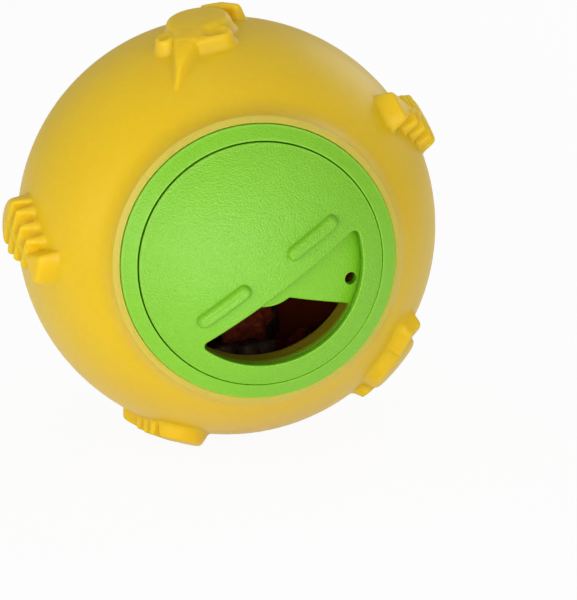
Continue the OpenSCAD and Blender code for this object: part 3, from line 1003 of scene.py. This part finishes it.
class TREATBALL_OT_treats(bpy.types.Operator):
    """Builds the star treats that lie in the ball."""

    bl_idname = "treatball.treats"
    bl_label = "Treats"

    def execute(self, context):
        s, c = context.scene.treat_ball_sizes, context.scene.treat_ball_colours
        colours = {"red": c.treat_red, "brown": c.treat_brown, "tan": c.treat_tan}
        finishes = {name: crumbly(f"treat_{name}", colour) for name, colour in colours.items()}
        for number, (tilt, around, spin, floor, finish) in enumerate(TREATS, 1):
            points, faces = loft(self.star_rings(s, number))
            points = turned(points, 2, spin) - np.array([0.0, 0.0, floor])
            points = turned(turned(points, 1, tilt), 2, around)
            points = turned(points, 0, math.degrees(s.pile_lean)) * 0.001
            piece = make_piece(f"treat_star_{number}", points, faces, finishes[finish], "ball")
            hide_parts(f"treat_{number}")
        return {"FINISHED"}

    def star_rings(self, s, seed):
        """Rings of a five-pointed star, r = R (0.835 + 0.15 cos 5a), round-edged and crumbled."""
        reach, thick = mm(s.treat_radius), mm(s.treat_thickness)
        angle = np.linspace(0.0, 2.0 * np.pi, 160, endpoint=False)
        radius = reach * (0.835 + 0.15 * np.cos(5.0 * angle))
        star = np.stack([radius * np.cos(angle), radius * np.sin(angle)], axis=1)
        draw, bevel = 0.12, 0.7
        face = np.linspace(0.04, 0.86, 12)
        section = [(t, 0.0) for t in face]
        section += [(1.0 - draw + draw * math.sin(a), bevel * (1.0 - math.cos(a)))
                    for a in np.radians(np.linspace(10, 90, 6))]
        section += [(1.0, u) for u in np.linspace(bevel, thick - bevel, 12)[1:-1]]
        section += [(1.0 - draw + draw * math.cos(a), thick - bevel * (1.0 - math.sin(a)))
                    for a in np.radians(np.linspace(0, 80, 6))]
        section += [(t, thick) for t in face[::-1]]
        rings = np.array([at_height(k * star, u) for k, u in section])
        flat = rings.reshape(-1, 3)
        out = flat - np.array([0.0, 0.0, 0.5 * thick])
        out /= np.linalg.norm(out, axis=1, keepdims=True)
        pushed = flat + out * (crumble(flat, 0.22, seed) - 0.12)[:, None]
        return pushed.reshape(rings.shape)


def floor_material(colour):
    """Pale floor that looks white to the camera and in reflections and keeps a soft shadow."""
    material, tree, surface = empty_material("pale_floor")
    matt = add(tree, "ShaderNodeBsdfDiffuse", [("Color", colour)])
    glow = add(tree, "ShaderNodeEmission", [("Color", (1.0, 1.0, 1.0, 1.0)), ("Strength", 1.0)])
    path = tree.nodes.new("ShaderNodeLightPath").outputs
    seen = reckon(tree, "MAXIMUM", path["Is Camera Ray"], path["Is Glossy Ray"])
    seen = reckon(tree, "MAXIMUM", seen, path["Is Transmission Ray"])
    white = reckon(tree, "MULTIPLY", seen, 0.94)
    mix = add(tree, "ShaderNodeMixShader", [], [(white, 0), (matt.outputs[0], 1), (glow.outputs[0], 2)])
    tree.links.new(mix.outputs[0], surface)
    return material


def soft_light(name, place, aim, size, watts):
    """A square soft lamp at a place, turned to a point."""
    lamp = bpy.data.lights.new(name, "AREA")
    lamp.shape, lamp.size, lamp.energy = "SQUARE", size, watts
    thing = bpy.data.objects.new(name, lamp)
    back = np.subtract(place, aim).astype(float)
    back /= np.linalg.norm(back)
    right = np.cross([0.0, 0.0, 1.0] if abs(back[2]) < 0.98 else [0.0, 1.0, 0.0], back)
    right /= np.linalg.norm(right)
    up = np.cross(back, right)
    pose = np.eye(4)
    pose[:3, 0], pose[:3, 1], pose[:3, 2], pose[:3, 3] = right, up, back, place
    thing.matrix_world = Matrix(pose.tolist())
    bpy.context.scene.collection.objects.link(thing)


class TREATBALL_OT_stage(bpy.types.Operator):
    """Sets up the floor, the soft light and the camera."""

    bl_idname = "treatball.stage"
    bl_label = "Stage"

    def execute(self, context):
        scene, c = context.scene, context.scene.treat_ball_colours
        scene.view_settings.view_transform = "Standard"
        reach, low, room_light = 6.0, CAD_BOX[0][2], 0.45
        corners = ((-reach, -reach), (reach, -reach), (reach, reach), (-reach, reach))
        mesh = bpy.data.meshes.new("floor")
        mesh.from_pydata([(x, y, low) for x, y in corners], [], [(0, 1, 2, 3)])
        mesh.materials.append(floor_material(c.floor))
        floor = bpy.data.objects.new("floor", mesh)
        scene.collection.objects.link(floor)
        world = bpy.data.worlds.new("soft_room")
        world.use_nodes = True
        glow = world.node_tree.nodes["Background"].inputs
        glow["Color"].default_value = (1.0, 1.0, 1.0, 1.0)
        glow["Strength"].default_value = room_light
        scene.world = world
        for lamp in LAMPS:
            soft_light(*lamp)
        self.camera(scene)
        return {"FINISHED"}

    def camera(self, scene):
        """Camera on the photograph's line of sight: 120 mm lens, 337 mm from the ball's centre."""
        turn, tip, away = math.radians(-11.4), math.radians(13.1), 0.3369
        wide, tall, length, sensor = 577.0, 600.0, 120.0, 36.0
        ball_x, ball_y, focus = 226.8, 225.9, length / sensor * tall
        right = np.array([math.cos(turn), math.sin(turn), 0.0])
        level = np.array([-math.sin(turn), math.cos(turn), 0.0])
        ahead = math.cos(tip) * level - math.sin(tip) * np.array([0.0, 0.0, 1.0])
        down = np.cross(ahead, right)
        sight = np.array([(ball_x - wide / 2.0) / focus, (ball_y - tall / 2.0) / focus, 1.0])
        sight *= away / np.linalg.norm(sight)
        pose = np.eye(4)
        pose[:3, 0], pose[:3, 1], pose[:3, 2] = right, -down, -ahead
        pose[:3, 3] = -(sight[0] * right + sight[1] * down + sight[2] * ahead)
        lens = bpy.data.cameras.new("camera")
        lens.lens, lens.sensor_width, lens.sensor_fit = length, sensor, "AUTO"
        lens.clip_start, lens.clip_end = 0.01, 50.0
        camera = bpy.data.objects.new("camera", lens)
        camera.matrix_world = Matrix(pose.tolist())
        scene.collection.objects.link(camera)
        scene.camera = camera


OPERATORS = [TREATBALL_OT_skin, TREATBALL_OT_figures, TREATBALL_OT_lid, TREATBALL_OT_dial,
             TREATBALL_OT_treats, TREATBALL_OT_stage]


class TREATBALL_PT_panel(bpy.types.Panel):
    """Lists the pieces of the treat ball with their sizes and colours."""

    bl_idname = "TREATBALL_PT_panel"
    bl_label = "Treat ball"
    bl_space_type = "VIEW_3D"
    bl_region_type = "UI"
    bl_category = "Treat ball"

    def draw(self, context):
        for kind in OPERATORS:
            self.layout.operator(kind.bl_idname)
        for group in (context.scene.treat_ball_sizes, context.scene.treat_ball_colours):
            column = self.layout.column(align=True)
            for name in type(group).__annotations__:
                column.prop(group, name)


CLASSES = [TreatBallSizes, TreatBallColours, *OPERATORS, TREATBALL_PT_panel]


def register():
    """Registers the classes and puts the settings on the scene."""
    for kind in CLASSES:
        bpy.utils.register_class(kind)
    bpy.types.Scene.treat_ball_sizes = PointerProperty(type=TreatBallSizes)
    bpy.types.Scene.treat_ball_colours = PointerProperty(type=TreatBallColours)


def unregister():
    """Takes the settings off the scene and the classes out again."""
    del bpy.types.Scene.treat_ball_colours
    del bpy.types.Scene.treat_ball_sizes
    for kind in reversed(CLASSES):
        bpy.utils.unregister_class(kind)


def main():
    register()
    bpy.ops.treatball.skin()
    bpy.ops.treatball.figures()
    bpy.ops.treatball.lid()
    bpy.ops.treatball.dial()
    bpy.ops.treatball.treats()
    bpy.ops.treatball.stage()


if __name__ == "__main__":
    main()
